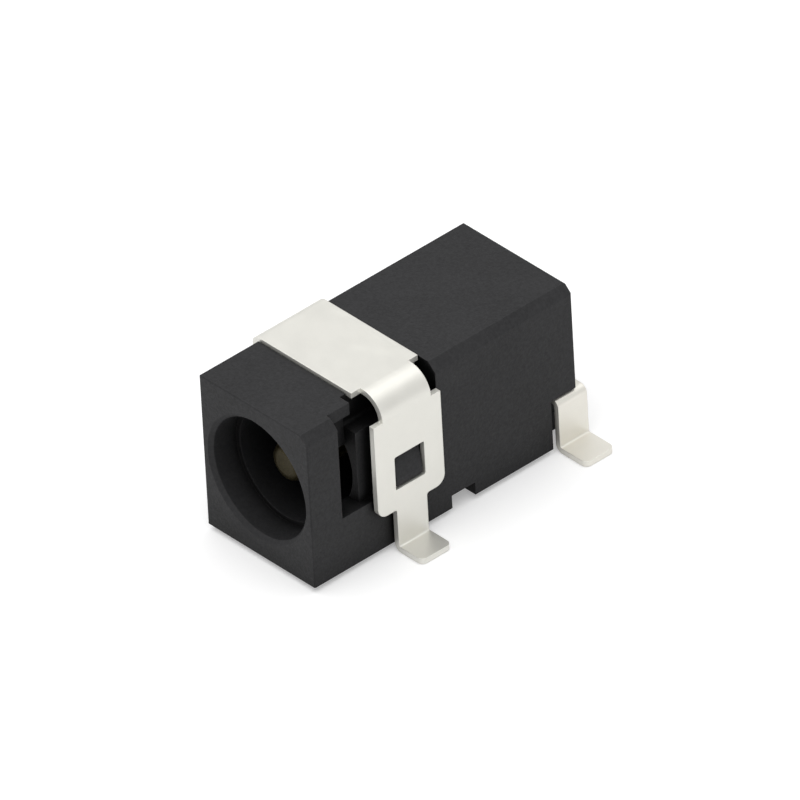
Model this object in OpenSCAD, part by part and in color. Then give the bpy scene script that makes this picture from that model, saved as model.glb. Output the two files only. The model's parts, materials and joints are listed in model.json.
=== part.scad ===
// Surface-mount barrel jack with a folded retention clip.
// Origin: centre of the overall box at board level. +X right, +Y towards the rear, +Z up.
// The mouth faces -Y. Every piece is drawn from the housing's front face and moved by placed().

/* [Housing] */
// Width of the housing across its side faces
body_w = 7.3; // [7.2:0.1:9]
// Length of the housing from its front face to its rear face
body_l = 16.55; // [16:0.05:20]
// Height of the housing's top above the board
body_h = 8.75; // [8.55:0.05:10]
// Thickness of the walls round the rear cavity
wall_t = 0.8; // [0.6:0.1:0.9]
// Chamfer along the top edge on the terminal side
key_chamfer = 0.45; // [0.3:0.05:0.8]
// Small break on every other outer edge
edge_break = 0.05; // [0.03:0.01:0.15]
// Gap between the board and the pad under the housing's rear
pad_gap = 0.25; // [0.1:0.05:0.3]
// Gap between the board and the rest of the underside
under_gap = 0.3; // [0.3:0.05:0.45]
// Length of the rear pad
pad_l = 4.5; // [3:0.5:6]

/* [Plug bore] */
// Height of the plug's axis above the board
axis_h = 4.6; // [4.5:0.05:4.9]
// Radius of the mouth's guide bore
mouth_r = 3.15; // [3:0.05:3.3]
// Depth of the mouth's guide bore
mouth_depth = 1.6; // [1.2:0.1:1.7]
// Chamfer at the lip of the mouth
mouth_chamfer = 0.2; // [0.1:0.05:0.25]
// Radius of the bore that the plug's barrel slides in
bore_r = 2.9; // [2.8:0.05:2.95]
// Depth of the bore from the front face to the web behind it
bore_depth = 10; // [9.6:0.1:10.6]
// Thickness of the web that carries the centre pin
web_t = 1.5; // [1.2:0.1:1.7]

/* [Centre pin] */
// Radius of the centre pin
pin_r = 1; // [0.8:0.05:1.2]
// How far the pin's tip stands back from the front face
pin_recess = 1.7; // [1.5:0.1:3]
// Radius on the pin's tip
pin_tip_r = 0.45; // [0.2:0.05:0.6]
// Radius of the pin's shank through the web
shank_r = 0.75; // [0.6:0.05:0.78]
// Radius of the rivet neck through the terminal's eye
rivet_r = 0.5; // [0.35:0.05:0.55]
// Radius of the rivet head behind the terminal
rivet_head_r = 0.85; // [0.75:0.05:1]
// Height of the rivet head
rivet_head_h = 0.35; // [0.2:0.05:0.5]

/* [Retention clip] */
// Thickness of the sheet that the clip and the terminals are folded from
sheet_t = 0.3; // [0.2:0.05:0.35]
// Width of the clip along the housing
clip_w = 4.15; // [3.8:0.05:4.6]
// Distance from the front face to the middle of the clip
clip_y = 5.8; // [5.4:0.1:6.1]
// Gap between the housing's side faces and the clip's side plates
clip_gap = 0.13; // [0.05:0.01:0.2]
// Depth of the seat in the housing's top that the clip lies in
seat_d = 0.15; // [0.1:0.05:0.25]
// Width of the strap that goes round the wide bend
strap_w = 3; // [2.4:0.05:3.3]
// Inside radius of the wide bend, on the side with the strap
bend_r = 1; // [0.7:0.05:1.2]
// Inside radius of the tight bend on the other side
tight_r = 0.15; // [0.1:0.05:0.3]
// Height of the side plate's lower edge above the board
plate_rise = 2.4; // [2:0.1:2.8]
// Radius on the side plate's lower corners
plate_corner_r = 0.55; // [0.3:0.05:0.8]
// Width of the window in the side plate
window_w = 1.85; // [1.4:0.05:2.2]
// Height of the window in the side plate
window_h = 1.85; // [1.4:0.05:2]
// Height of the window's middle above the board
window_z = 4.42; // [4.2:0.02:4.7]
// Width of the neck between the side plate and its foot
neck_w = 1.86; // [1.4:0.05:2.2]
// How far the clip's feet reach out past its side plates
clip_foot_l = 1.55; // [1.2:0.05:2.2]
// Radius on the outer corners of every foot
foot_corner_r = 0.3; // [0.1:0.05:0.5]
// Inside radius of every small fold
fold_r = 0.1; // [0.1:0.05:0.2]

/* [Clip seat in the side] */
// Distance from the front face to the side pocket
pocket_y = 1.9; // [1.8:0.05:2.4]
// Height of the side pocket's lower edge above the board
pocket_z = 3.25; // [2.7:0.05:3.35]
// Depth of the side pocket
pocket_d = 0.4; // [0.3:0.05:0.45]
// Height above the board of the ledge under the wide bend
ledge_z = 7.15; // [6.9:0.05:7.4]
// Depth of the corner cut away above the ledge
corner_d = 1.35; // [1.2:0.05:1.5]
// Radius in the ledge's inside corner
ledge_r = 0.2; // [0.1:0.05:0.4]
// Length of the deep slot at the pocket's front end
slot_l = 1.4; // [1.2:0.05:1.6]
// Depth of the deep slot where it cuts the top edge
slot_top_d = 0.7; // [0.5:0.05:1]
// Depth of the deep slot beside the bore, which it opens into
slot_deep_d = 1.2; // [1:0.05:1.3]
// Height above the board where the slot changes from its deep to its shallow part
slot_step_z = 8.1; // [7.9:0.05:8.3]
// How far the latch lugs stand out past the side faces
lug_out = 0.36; // [0.25:0.01:0.42]
// Height of the latch lugs' upright lower face
lug_step = 0.35; // [0.2:0.05:0.8]

/* [Terminals] */
// Width of the legs at the rear corners
leg_w = 1.8; // [1.4:0.1:2]
// How far the legs reach past the rear face
leg_over = 0.5; // [0.3:0.1:0.9]
// How far the legs stand out past the side faces
leg_out = 0.15; // [0.05:0.05:0.3]
// Height of the top of the legs above the board
leg_h = 2.9; // [2.8:0.05:3.2]
// How far the terminals' feet reach out past the side faces
tail_l = 1.9; // [1.2:0.05:2.2]
// Width of the sleeve contact's spring finger
finger_w = 1.9; // [1.6:0.1:2]
// Height of the finger's underside above the board
finger_z = 1.3; // [1.25:0.05:1.35]
// Slope of the finger on both sides of its crest, in degrees
crest_a = 36; // [28:1:40]
// Radius inside the bend at the crest
crest_r = 0.45; // [0.3:0.05:0.6]
// Length of the straight ramp on each side of the crest
ramp_l = 0.75; // [0.5:0.05:0.8]
// Distance from the web forward to the crest
crest_back = 2; // [1.5:0.1:3]
// Length of the flat tip at the finger's free end
tip_l = 0.3; // [0.1:0.05:0.5]
// Radius of the eye round the centre pin's rivet
eye_r = 1.1; // [1:0.05:1.2]

/* [Rear cover] */
// Thickness of the rear cover
cover_t = 1.2; // [0.8:0.1:1.4]

/* [Underside] */
// Distance from the front face to the cut-out in the lower edge of each side
cutout_y = 8.6; // [8:0.1:9.5]
// Length of the cut-outs
cutout_l = 1.45; // [1:0.05:2]
// Height of their roof above the board
cutout_h = 1; // [0.6:0.05:1.2]
// How far they cut in from the side faces
cutout_w = 1.8; // [1:0.1:2.2]

/* [Hidden] */
$fn = 48;
eps = 0.01;
// Overlap that joins one run of a folded strip to the next
lap = 0.002;
// Clearance between pieces that slide together
slip = 0.05;
// Clearance round the clip and its lugs
snap = 0.12;
// Insulating gap between the two terminals
iso = 0.4;
// Clearance between a pressed-in piece and its hole
press = 0.02;
// Radius inside the cavity's corners
cavity_r = 0.3;
// Small fillet where the sheet changes width
nick_r = 0.15;
// A length past every face, for cuts that run right through
far = 40;

half_w = body_w / 2;
front_y = -(body_l + leg_over) / 2;

seat_z = body_h - seat_d;
plate_in = half_w + clip_gap;
plate_out = plate_in + sheet_t;
clip_y0 = clip_y - clip_w / 2;
clip_y1 = clip_y + clip_w / 2;
clip_reach = plate_out + clip_foot_l;
bend_x = plate_in - bend_r;
relief_x = bend_x - 0.15;
shoulder_z = seat_z - bend_r;

pocket_x = half_w - pocket_d;
pocket_l = clip_y1 + snap - pocket_y;

cavity_y = bore_depth + web_t;
cavity_hw = half_w - wall_t;
cavity_z0 = finger_z;
cavity_z1 = body_h - wall_t;
cover_y = body_l - cover_t;

leg_y1 = body_l + leg_over;
leg_y0 = leg_y1 - leg_w;
leg_in = half_w + leg_out - sheet_t;
shelf_z = leg_h - sheet_t;
shelf_hw = cavity_hw - 0.25;
shelf_y1 = cover_y - 0.1;
bridge_x = shelf_hw - 0.7;
notch_y = leg_y0 - 0.3;
notch_z = leg_h + 0.1;
fold_out = fold_r + sheet_t;
plate_y = cavity_y + sheet_t;

// The finger runs flat under the web, then up to its crest and down again to its tip
crest_y = bore_depth - crest_back;
rise_l = (fold_out + crest_r) * sin(crest_a) + ramp_l * cos(crest_a);
finger_flat = plate_y - fold_out - rise_l - crest_y;
finger_end = crest_y - rise_l - tip_l;
finger_hw = finger_w / 2;
hatch_z = finger_z + fold_out + slip;

// ---------- shared shapes ----------

module placed() {
    translate([0, front_y, 0]) children();
}

// Draws a front-view outline (x, z) and pulls it back from y0 to y1
module along_y(y0, y1) {
    translate([0, y1, 0]) rotate([90, 0, 0]) linear_extrude(y1 - y0) children();
}

// Draws a side-view outline (y, z) and pulls it out from x0 to x1
module along_x(x0, x1) {
    translate([x0, 0, 0]) rotate([90, 0, 90]) linear_extrude(x1 - x0) children();
}

// Draws a plan outline (x, y) and lifts it from z0 to z1
module along_z(z0, z1) {
    translate([0, 0, z0]) linear_extrude(z1 - z0) children();
}

module span(x0, y0, x1, y1) {
    translate([x0, y0]) square([x1 - x0, y1 - y0]);
}

// A rectangle with round corners, from true arcs
module soft_span(x0, y0, x1, y1, r) {
    span(x0 + r, y0, x1 - r, y1);
    span(x0, y0 + r, x1, y1 - r);
    for (x = [x0 + r, x1 - r], y = [y0 + r, y1 - r]) translate([x, y]) circle(r);
}

// The web of material left in an inside corner at the origin, open towards +x and +y
module inside_fillet(r) {
    difference() {
        square(r);
        translate([r, r]) circle(r);
    }
}

// A rectangle with each corner cut by its own chamfer: lower left, lower right, upper right, upper left
module chamfered_span(x0, y0, x1, y1, c) {
    polygon([
        [x0, y0 + c[0]], [x0 + c[0], y0], [x1 - c[1], y0], [x1, y0 + c[1]],
        [x1, y1 - c[2]], [x1 - c[2], y1], [x0 + c[3], y1], [x0, y1 - c[3]]
    ]);
}

// A sector of a ring of sheet: inside radius r, from angle 0 to a
module ring_sector(r, a) {
    reach = 2 * (r + sheet_t);
    intersection() {
        difference() {
            circle(r + sheet_t);
            circle(r);
        }
        polygon([
            [0, 0], [reach, 0], reach * [cos(a / 2), sin(a / 2)], reach * [cos(a), sin(a)]
        ]);
    }
}

// The section of a folded strip of sheet. It starts at the origin along +x with the sheet on its left.
// Each step is [length, turn, inside radius]: a positive turn goes left, a negative one right.
module folded(steps, i = 0) {
    if (i < len(steps)) {
        run = steps[i][0];
        turn = steps[i][1];
        r = steps[i][2];
        translate([-lap, 0]) square([run + 2 * lap, sheet_t]);
        if (turn > 0) {
            translate([run, sheet_t + r]) rotate(-90) ring_sector(r, turn);
            translate([run, sheet_t + r]) rotate(turn) translate([0, -sheet_t - r]) folded(steps, i + 1);
        }
        if (turn < 0) {
            translate([run, -r]) rotate(90 + turn) ring_sector(r, -turn);
            translate([run, -r]) rotate(turn) translate([0, r]) folded(steps, i + 1);
        }
    }
}

// ---------- housing ----------

module outer_block() {
    e = edge_break;
    intersection() {
        along_y(0, body_l) chamfered_span(-half_w, pad_gap, half_w, body_h, [e, e, key_chamfer, e]);
        along_z(0, body_h) chamfered_span(-half_w, 0, half_w, body_l, [e, e, e, e]);
        along_x(-half_w, half_w) chamfered_span(0, pad_gap, body_l, body_h, [e, e, e, e]);
    }
}

// Mouth, bore and the shank's hole, one behind the other on the plug's axis
module plug_bores() {
    translate([0, 0, axis_h]) rotate([-90, 0, 0]) {
        translate([0, 0, -eps]) cylinder(h = mouth_depth + eps, r = mouth_r);
        translate([0, 0, -eps])
            cylinder(h = mouth_chamfer + eps, r1 = mouth_r + mouth_chamfer + eps, r2 = mouth_r);
        cylinder(h = bore_depth, r = bore_r);
        cylinder(h = cavity_y + eps, r = shank_r + press);
    }
}

module rear_cavity() {
    along_y(cavity_y, body_l + eps) soft_span(-cavity_hw, cavity_z0, cavity_hw, cavity_z1, cavity_r);
}

// Slot under the bore for the spring finger, and its way back through the web
module finger_slot() {
    hw = finger_hw + 2 * slip;
    y0 = finger_end - 3 * slip;
    translate([-hw, y0, finger_z - 2 * slip]) cube([2 * hw, bore_depth - y0, axis_h - finger_z]);
    translate([-hw, bore_depth - eps, finger_z]) cube([2 * hw, web_t + 2 * eps, hatch_z - finger_z]);
}

// Openings in the rear lower corners, where the terminals' legs come out
module leg_notches() {
    for (s = [-1, 1]) {
        along_y(notch_y, body_l + eps)
            span(min(s * far, s * (shelf_hw - 0.1)), -eps, max(s * far, s * (shelf_hw - 0.1)), notch_z);
    }
}

// The right side is cut back round the clip, and its top corner is cut away under the wide bend
module side_pocket() {
    wall_x = half_w - corner_d;
    along_y(pocket_y, pocket_y + pocket_l) span(pocket_x, pocket_z, far, far);
    along_y(pocket_y + slot_l, pocket_y + pocket_l) difference() {
        span(wall_x, ledge_z, far, far);
        translate([wall_x, ledge_z]) inside_fillet(ledge_r);
    }
}

// Deep slot at the front of the pocket. It opens into the bore and through the top edge.
module deep_slot() {
    along_y(pocket_y, pocket_y + slot_l) {
        span(half_w - slot_deep_d, pocket_z, far, slot_step_z);
        span(half_w - slot_top_d, pocket_z, far, far);
    }
}

module top_seat() {
    translate([-far / 2, clip_y0 - snap / 2, seat_z]) cube([far, clip_w + snap, far]);
}

module underside() {
    translate([-far / 2, -eps, -eps]) cube([far, body_l - pad_l, under_gap + eps]);
    for (s = [0, 1]) mirror([s, 0, 0])
        translate([half_w - cutout_w, cutout_y, -eps]) cube([far, cutout_l, cutout_h + eps]);
}

// A wedge that the clip's window drops over: sloped above, square below
module latch_lug(root_x) {
    z0 = window_z - window_h / 2 + snap;
    z1 = window_z + window_h / 2 - snap;
    half_l = window_w / 2 - snap;
    along_y(clip_y - half_l, clip_y + half_l) polygon([
        [root_x - 0.2, z0], [half_w + lug_out, z0], [half_w + lug_out, z0 + lug_step],
        [half_w + clip_gap, z1], [root_x - 0.2, z1]
    ]);
}

module housing() {
    color([0.075, 0.075, 0.078]) placed() {
        difference() {
            union() {
                difference() {
                    outer_block();
                    side_pocket();
                    deep_slot();
                }
                latch_lug(pocket_x);
                mirror([1, 0, 0]) latch_lug(half_w);
            }
            plug_bores();
            rear_cavity();
            finger_slot();
            leg_notches();
            top_seat();
            underside();
        }
    }
}

// ---------- rear cover ----------

module rear_cover() {
    w = cavity_hw - slip;
    foot_w = bridge_x - 0.1;
    color([0.085, 0.085, 0.088]) placed() along_y(cover_y, body_l - slip) {
        soft_span(-w, notch_z, w, cavity_z1 - slip, 0.25);
        span(-foot_w, cavity_z0 + slip, foot_w, notch_z + 0.5);
    }
}

// ---------- centre pin ----------

module centre_pin() {
    shoulder = bore_depth - pin_recess;
    neck_end = shoulder + web_t + sheet_t;
    color([0.72, 0.66, 0.45]) placed()
        translate([0, pin_recess, axis_h]) rotate([-90, 0, 0]) rotate_extrude() {
            span(0, pin_tip_r, pin_r, shoulder);
            span(0, 0, pin_r - pin_tip_r, shoulder);
            intersection() {
                translate([pin_r - pin_tip_r, pin_tip_r]) circle(pin_tip_r);
                span(0, 0, pin_r, shoulder);
            }
            span(0, shoulder - eps, shank_r, shoulder + web_t);
            span(0, shoulder, rivet_r, neck_end + rivet_head_h);
            span(0, neck_end, rivet_head_r, neck_end + rivet_head_h);
        }
}

// ---------- terminals ----------

// Leg and foot at the right rear corner, folded down and out from the shelf
module leg() {
    drop = shelf_z - fold_r - fold_out;
    steps = [
        [leg_in - fold_r - bridge_x, -90, fold_r],
        [drop, 90, fold_r],
        [half_w + tail_l - leg_in - fold_out, 0, 0]
    ];
    intersection() {
        along_y(leg_y0, leg_y1) translate([bridge_x, shelf_z]) folded(steps);
        along_z(-eps, leg_h + eps)
            soft_span(0, leg_y0, half_w + tail_l, leg_y1, foot_corner_r);
    }
}

// Pulls a section drawn as (distance forward, height) from x0 to x1; it starts at y
module strip_forward(y, x0, x1) {
    translate([x0, y, 0]) mirror([0, 1, 0]) along_x(0, x1 - x0) children();
}

module pin_terminal() {
    shelf_in = finger_hw + iso;
    arm_z0 = leg_h + iso;
    plate_z1 = axis_h + eye_r;
    rise = [
        [shelf_y1 - cavity_y - fold_out, 90, fold_r],
        [plate_z1 - shelf_z - fold_out, 0, 0]
    ];
    color([0.78, 0.76, 0.7]) placed() difference() {
        union() {
            intersection() {
                strip_forward(shelf_y1, -shelf_hw, eye_r) translate([0, shelf_z]) folded(rise);
                along_y(0, body_l) {
                    span(-shelf_hw, 0, -shelf_in, plate_z1 - 0.2);
                    span(-shelf_hw, arm_z0, 0, plate_z1 - 0.2);
                    translate([0, axis_h]) circle(eye_r);
                }
            }
            along_z(shelf_z, leg_h) span(-shelf_hw, shelf_y1 - 1, -bridge_x, leg_y1);
            mirror([1, 0, 0]) leg();
        }
        translate([0, cavity_y - 1, axis_h]) rotate([-90, 0, 0]) cylinder(h = 3, r = rivet_r + press);
    }
}

module sleeve_contact() {
    run_down = shelf_z - fold_r - fold_out - finger_z;
    finger = [
        [shelf_y1 - plate_y - fold_r, -90, fold_r],
        [run_down, 90, fold_r],
        [finger_flat, crest_a, fold_r],
        [ramp_l, -2 * crest_a, crest_r],
        [ramp_l, crest_a, fold_r],
        [tip_l, 0, 0]
    ];
    color([0.78, 0.76, 0.7]) placed() {
        strip_forward(shelf_y1, -finger_hw, finger_hw) translate([0, shelf_z]) folded(finger);
        along_z(shelf_z, leg_h) {
            span(-finger_hw, plate_y + fold_r, shelf_hw, shelf_y1);
            span(bridge_x, shelf_y1 - eps, shelf_hw, leg_y1);
        }
        leg();
    }
}

// ---------- retention clip ----------

// Front-view section of one side of the clip, from the middle of the top to the end of the foot
module clip_section(r) {
    folded([
        [plate_in - r, -90, r],
        [seat_z - r - fold_out, 90, fold_r],
        [clip_reach - plate_in - fold_out, 0, 0]
    ]);
}

// Side-view outline of one side: band over the bend, plate with its window, and neck
module clip_side_outline(band_w) {
    difference() {
        union() {
            span(clip_y - band_w / 2, shoulder_z - 1, clip_y + band_w / 2, body_h + 1);
            span(clip_y0, plate_rise + plate_corner_r, clip_y1, shoulder_z);
            span(clip_y0 + plate_corner_r, plate_rise, clip_y1 - plate_corner_r, shoulder_z);
            for (y = [clip_y0 + plate_corner_r, clip_y1 - plate_corner_r])
                translate([y, plate_rise + plate_corner_r]) circle(plate_corner_r);
            span(clip_y - neck_w / 2, -1, clip_y + neck_w / 2, plate_rise + 1);
            for (s = [0, 1]) translate([clip_y, plate_rise]) mirror([s, 0])
                translate([neck_w / 2, 0]) mirror([0, 1]) inside_fillet(nick_r);
        }
        soft_span(
            clip_y - window_w / 2, window_z - window_h / 2,
            clip_y + window_w / 2, window_z + window_h / 2, 0.1
        );
    }
}

// Plan outline of the whole clip: plates, strap over the wide bend, and feet
module clip_plan() {
    span(-plate_out, clip_y0, relief_x, clip_y1);
    span(relief_x - eps, clip_y - strap_w / 2, plate_out, clip_y + strap_w / 2);
    for (s = [0, 1]) translate([relief_x, clip_y]) mirror([0, s])
        translate([0, strap_w / 2]) inside_fillet(nick_r);
    span(plate_in - eps, clip_y0, plate_out, clip_y1);
    soft_span(-clip_reach, clip_y - neck_w / 2, clip_reach, clip_y + neck_w / 2, foot_corner_r);
}

module retention_clip() {
    color([0.84, 0.84, 0.82]) placed() intersection() {
        along_y(clip_y0, clip_y1) translate([0, seat_z]) {
            clip_section(bend_r);
            mirror([1, 0]) clip_section(tight_r);
        }
        union() {
            along_x(0, far) clip_side_outline(strap_w);
            along_x(-far, 0) clip_side_outline(clip_w);
            along_x(-half_w, relief_x) span(clip_y0, seat_z - eps, clip_y1, far);
        }
        along_z(-1, far) clip_plan();
    }
}

housing();
rear_cover();
centre_pin();
pin_terminal();
sleeve_contact();
retention_clip();
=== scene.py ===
import json
import math
import bpy
from mathutils import Matrix, Vector


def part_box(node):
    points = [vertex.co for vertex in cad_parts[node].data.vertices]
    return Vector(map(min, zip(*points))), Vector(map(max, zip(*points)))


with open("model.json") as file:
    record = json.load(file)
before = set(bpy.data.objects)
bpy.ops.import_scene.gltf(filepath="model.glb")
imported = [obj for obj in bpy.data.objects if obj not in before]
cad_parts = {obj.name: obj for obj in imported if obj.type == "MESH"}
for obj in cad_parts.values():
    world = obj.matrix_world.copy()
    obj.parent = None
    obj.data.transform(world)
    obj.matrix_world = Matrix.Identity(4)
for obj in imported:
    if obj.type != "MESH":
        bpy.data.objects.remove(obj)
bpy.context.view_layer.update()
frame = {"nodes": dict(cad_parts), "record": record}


nodes = frame["nodes"]
record = frame["record"]
slot_of = {s["node"]: s["material_slot"] for s in record["subparts"]}
colour_of = {m["slot"]: tuple(m["base_color"][:3]) for m in record["materials"]}
MM = 0.001
WHITE = (1, 1, 1, 1)
# The values that a noise texture mostly takes
MOST = (0.3, 0.7)

# ---------- node helpers: lengths are in millimetres ----------


def material(name):
    mat = bpy.data.materials.new(name)
    mat.use_nodes = True
    tree = mat.node_tree
    return mat, tree, tree.nodes["Principled BSDF"]


def put(tree, kind, **settings):
    """New node. A setting named p_something is a property, and any other is a socket's value."""
    node = tree.nodes.new(kind)
    for key, value in settings.items():
        if key.startswith("p_"):
            setattr(node, key[2:], value)
        else:
            node.inputs[key.replace("_", " ")].default_value = value
    return node


def wire(tree, source, target):
    tree.links.new(source, target)


def place(tree, scale=(1, 1, 1)):
    """Coordinates in the CAD frame, in millimetres, times a scale along each axis."""
    where = put(tree, "ShaderNodeTexCoord")
    sized = put(tree, "ShaderNodeMapping", Scale=tuple(s / MM for s in scale))
    wire(tree, where.outputs["Object"], sized.inputs["Vector"])
    return sized.outputs["Vector"]


def noise(tree, at, per_mm, detail, rough):
    node = put(tree, "ShaderNodeTexNoise", Scale=per_mm, Detail=detail, Roughness=rough)
    wire(tree, at, node.inputs["Vector"])
    return node.outputs["Fac"]


def band(tree, value, span=(0.0, 1.0), to=(0.0, 1.0)):
    """Maps span to the values of to, and keeps within them."""
    node = put(tree, "ShaderNodeMapRange", p_clamp=True,
               From_Min=span[0], From_Max=span[1], To_Min=to[0], To_Max=to[1])
    wire(tree, value, node.inputs["Value"])
    return node.outputs["Result"]


def calc(tree, how, a, b):
    node = put(tree, "ShaderNodeMath", p_operation=how)
    wire(tree, a, node.inputs[0])
    wire(tree, b, node.inputs[1])
    return node.outputs["Value"]


def blend_colour(tree, mask, under, over):
    """Colour under where the mask is 0, and over where it is 1. Under may come from a node."""
    node = put(tree, "ShaderNodeMix", p_data_type="RGBA")
    # The node has sockets of every data type, and these are the ones for colours
    factor, a, b, result = node.inputs[0], node.inputs[6], node.inputs[7], node.outputs[2]
    wire(tree, mask, factor)
    if isinstance(under, tuple):
        a.default_value = (*under, 1)
    else:
        wire(tree, under, a)
    b.default_value = (*over, 1)
    return result


def darken(tree, colour, by):
    """A colour times a mask."""
    node = put(tree, "ShaderNodeVectorMath", p_operation="SCALE")
    wire(tree, colour, node.inputs[0])
    wire(tree, by, node.inputs["Scale"])
    return node.outputs["Vector"]


def edges(tree, radius):
    """Normal rounded over every edge, and a mask that is 1 on the edge and 0 on the faces."""
    soft = put(tree, "ShaderNodeBevel", Radius=radius * MM, p_samples=6)
    true = put(tree, "ShaderNodeNewGeometry")
    dot = put(tree, "ShaderNodeVectorMath", p_operation="DOT_PRODUCT")
    wire(tree, soft.outputs["Normal"], dot.inputs[0])
    wire(tree, true.outputs["True Normal"], dot.inputs[1])
    return soft.outputs["Normal"], band(tree, dot.outputs["Value"], span=(0.985, 0.8))


def painted_shade(tree, reach, span, dark):
    """Painted shade: a mask that is 1 in the open and falls to dark inside a bore, slot or gap. Walls
    within reach close it in.
    """
    cavity_shade = put(tree, "ShaderNodeAmbientOcclusion", Distance=reach * MM, p_samples=16)
    return band(tree, cavity_shade.outputs["AO"], span, to=(dark, 1.0))


def bump(tree, height, depth, normal):
    node = put(tree, "ShaderNodeBump", Distance=depth * MM)
    wire(tree, height, node.inputs["Height"])
    wire(tree, normal, node.inputs["Normal"])
    return node.outputs["Normal"]


def shade(colour, by):
    return tuple(c * by for c in colour)


def tint(colour, *by):
    return tuple(c * b for c, b in zip(colour, by))


# ---------- materials ----------


def plastic(name, base):
    """Matt moulding: mottled, with a fine grain and chipped edges, and darkened by painted shade to
    nearly black in its hollows.
    """
    mat, tree, bsdf = material(name)
    at = place(tree)
    grain = noise(tree, at, per_mm=9.0, detail=4.0, rough=0.6)
    fine = noise(tree, at, per_mm=26.0, detail=2.0, rough=0.5)
    cloud = noise(tree, at, per_mm=0.35, detail=3.0, rough=0.5)
    speck = noise(tree, at, per_mm=5.0, detail=4.0, rough=0.7)
    normal, edge = edges(tree, radius=0.06)

    darkest, palest, pale_edge = shade(base, 0.46), shade(base, 0.7), shade(base, 2.2)
    mottle = calc(tree, "ADD", band(tree, cloud, MOST, to=(0.0, 0.4)),
                  band(tree, speck, span=(0.38, 0.62), to=(0.0, 0.6)))
    chips = calc(tree, "MULTIPLY", edge, band(tree, grain, span=(0.42, 0.62), to=(0.0, 0.55)))
    colour = blend_colour(tree, mottle, darkest, palest)
    colour = blend_colour(tree, chips, colour, pale_edge)
    # Painted shade: the colour darkens inside the mouth, the slot and other hollows, and along the
    # gaps between parts
    painted_bore_shade = painted_shade(tree, reach=5.0, span=(0.34, 0.76), dark=0.05)
    painted_seam_shade = painted_shade(tree, reach=0.6, span=(0.45, 0.95), dark=0.45)
    colour = darken(tree, colour, calc(tree, "MULTIPLY", painted_bore_shade, painted_seam_shade))
    wire(tree, colour, bsdf.inputs["Base Color"])

    bsdf.inputs["Specular IOR Level"].default_value = 0.15
    wire(tree, band(tree, grain, MOST, to=(0.5, 0.66)), bsdf.inputs["Roughness"])
    normal = bump(tree, fine, 0.004, normal)
    normal = bump(tree, grain, 0.012, normal)
    wire(tree, normal, bsdf.inputs["Normal"])
    return mat


def sheet(name, base, along, rough, cavity_shade, specular=0.5):
    """Satin plated metal with fine lines drawn along one axis. Its edges are paler, partly from wear
    and partly as a painted highlight, and one argument sets the painted shade that darkens its
    hollows.
    """
    mat, tree, bsdf = material(name)
    at = place(tree)
    drawn_out = tuple(0.06 if axis == along else 1.0 for axis in "xyz")
    lines = noise(tree, place(tree, drawn_out), per_mm=16.0, detail=3.0, rough=0.6)
    cloud = noise(tree, at, per_mm=0.8, detail=4.0, rough=0.6)
    grain = noise(tree, at, per_mm=14.0, detail=2.0, rough=0.5)
    normal, edge = edges(tree, radius=0.05)

    # Paler edges: partly wear, partly a painted highlight along every edge of the sheet
    pale_edge = tuple(min(1.0, c) for c in shade(base, 1.08))
    colour = blend_colour(tree, band(tree, cloud, span=(0.35, 0.7)), shade(base, 0.97), base)
    colour = blend_colour(tree, edge, colour, pale_edge)
    # Painted shade: the colour darkens in hollows and where other parts wall it in
    colour = darken(tree, colour, painted_shade(tree, **cavity_shade))
    wire(tree, colour, bsdf.inputs["Base Color"])

    bsdf.inputs["Metallic"].default_value = 0.6
    bsdf.inputs["Specular IOR Level"].default_value = specular
    blur = calc(tree, "ADD", band(tree, lines, MOST, to=(rough - 0.05, rough + 0.05)),
                band(tree, cloud, MOST, to=(-0.02, 0.03)))
    wire(tree, blur, bsdf.inputs["Roughness"])
    normal = bump(tree, lines, 0.0012, normal)
    normal = bump(tree, grain, 0.001, normal)
    wire(tree, normal, bsdf.inputs["Normal"])
    return mat


def tinned_sheet(name, base):
    # Settings of the painted shade in its hollows
    cavity_shade = dict(reach=3.0, span=(0.15, 0.5), dark=0.7)
    return sheet(name, tint(base, 0.96, 0.96, 0.93), along="x", rough=0.4, cavity_shade=cavity_shade)


def plated_contact(name, base):
    # Settings of the painted shade in its hollows
    cavity_shade = dict(reach=3.0, span=(0.2, 0.5), dark=0.6)
    return sheet(name, shade(base, 1.1), along="y", rough=0.42, cavity_shade=cavity_shade)


def pin_brass(name, base):
    """Hardly any gloss, and darkened by painted shade to almost black wherever it is walled in, as it
    is deep in the mouth.
    """
    # Settings of the painted shade that darkens the pin inside the mouth
    cavity_shade = dict(reach=9.0, span=(0.8, 1.0), dark=0.05)
    return sheet(name, tint(base, 0.95, 0.88, 0.6), along="y", rough=0.3, cavity_shade=cavity_shade, specular=0.05)


makers = {
    "housing_plastic": plastic,
    "cover_plastic": plastic,
    "tinned_sheet": tinned_sheet,
    "plated_contact": plated_contact,
    "pin_brass": pin_brass,
}
made = {slot: make(slot, colour_of[slot]) for slot, make in makers.items()}
for name, obj in nodes.items():
    slot = slot_of[name]
    obj.data.materials.clear()
    obj.data.materials.append(made[slot])

# ---------- floor ----------

FLOOR_WIDTH = 1.2
# Just under the feet, so that no two faces share a plane
FLOOR_DROP = 0.02 * MM
FLOOR_GREY = 0.78
FLOOR_GLOW = 0.3

bpy.ops.mesh.primitive_plane_add(size=FLOOR_WIDTH, location=(0, 0, -FLOOR_DROP))
floor = bpy.context.object
floor.name = "floor"
mat, tree, bsdf = material("floor_white")
bsdf.inputs["Base Color"].default_value = (FLOOR_GREY, FLOOR_GREY, FLOOR_GREY, 1)
bsdf.inputs["Roughness"].default_value = 0.9
bsdf.inputs["Specular IOR Level"].default_value = 0.1
bsdf.inputs["Emission Color"].default_value = WHITE
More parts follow.
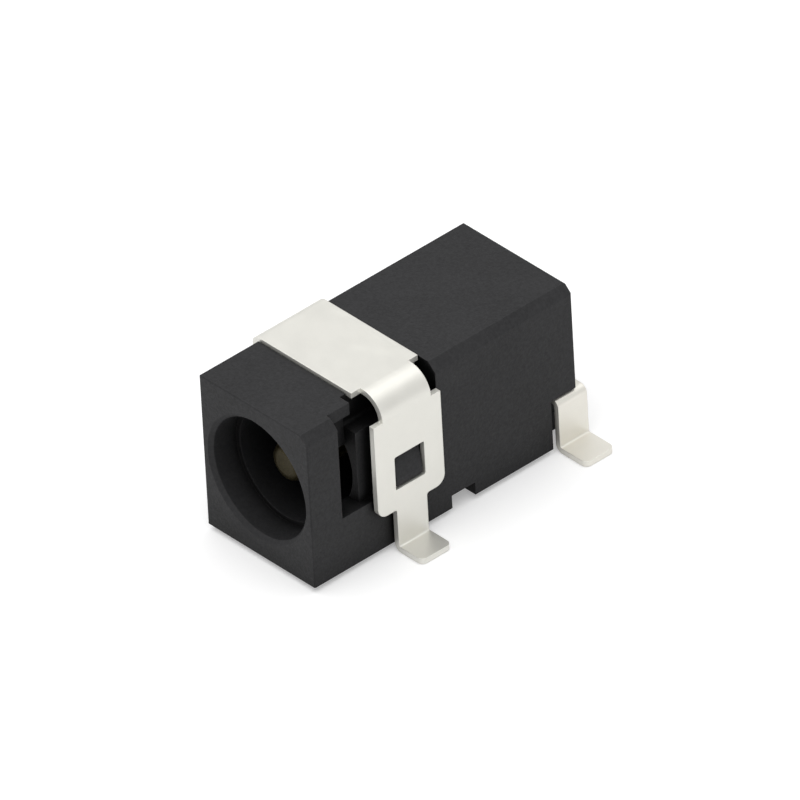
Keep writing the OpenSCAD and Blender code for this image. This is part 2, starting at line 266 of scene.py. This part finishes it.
# The glow shows to the camera and in reflections, and lights nothing else
ray = put(tree, "ShaderNodeLightPath").outputs
shown = calc(tree, "ADD", ray["Is Camera Ray"], ray["Is Glossy Ray"])
wire(tree, band(tree, shown, to=(0.0, FLOOR_GLOW)), bsdf.inputs["Emission Strength"])
floor.data.materials.append(mat)

# ---------- world: what it lights with, what the camera sees and what reflections add ----------

ROOM_LIGHT = 0.48
BACKDROP = 1.1
MIRRORED = 0.25

world = bpy.data.worlds.new("tent")
bpy.context.scene.world = world
world.use_nodes = True
tree = world.node_tree
background = tree.nodes["Background"]
background.inputs["Color"].default_value = WHITE
ray = put(tree, "ShaderNodeLightPath").outputs
shown = band(tree, ray["Is Camera Ray"], to=(ROOM_LIGHT, BACKDROP))
mirrored = band(tree, ray["Is Glossy Ray"], to=(0.0, MIRRORED))
wire(tree, calc(tree, "ADD", shown, mirrored), background.inputs["Strength"])

# ---------- lamps ----------

lo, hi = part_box("housing")
centre = (lo + hi) / 2


def lamp(name, away, width, power):
    """Round lamp at a place measured from the housing's middle, and turned to face it."""
    data = bpy.data.lights.new(name, "AREA")
    data.shape = "DISK"
    data.size = width
    data.energy = power
    obj = bpy.data.objects.new(name, data)
    bpy.context.scene.collection.objects.link(obj)
    obj.location = centre + Vector(away)
    obj.rotation_mode = "QUATERNION"
    obj.rotation_quaternion = (-Vector(away)).to_track_quat("-Z", "Y")


lamp("key", away=(0.0, -0.08, 0.55), width=1.0, power=3.75)
lamp("fill", away=(0.32, -0.16, 0.14), width=0.24, power=0.094)

# ---------- camera ----------

AZIMUTH = math.radians(49.26)
ELEVATION = math.radians(36.05)
ROLL = math.radians(-3.25)
DISTANCE = 1.314
# Width that the picture takes in at the point it is aimed at
SPAN = 0.03682
# How far that point is from the housing's middle, to the right and up in the picture
AIM_RIGHT = 0.000483
AIM_UP = 0.000235

look = Vector((-math.sin(AZIMUTH) * math.cos(ELEVATION),
               math.cos(AZIMUTH) * math.cos(ELEVATION),
               -math.sin(ELEVATION)))
level = look.cross(Vector((0, 0, 1))).normalized()
rise = level.cross(look)
right = level * math.cos(ROLL) + rise * math.sin(ROLL)
up = rise * math.cos(ROLL) - level * math.sin(ROLL)

data = bpy.data.cameras.new("camera")
data.sensor_width = 36
data.lens = data.sensor_width * DISTANCE / SPAN
data.clip_start = 0.01
data.clip_end = 10
camera = bpy.data.objects.new("camera", data)
bpy.context.scene.collection.objects.link(camera)
aim = centre + right * AIM_RIGHT + up * AIM_UP
turn = Matrix((right, up, -look)).transposed().to_4x4()
camera.matrix_world = Matrix.Translation(aim - look * DISTANCE) @ turn
bpy.context.scene.camera = camera
bpy.context.scene.view_settings.view_transform = "Standard"
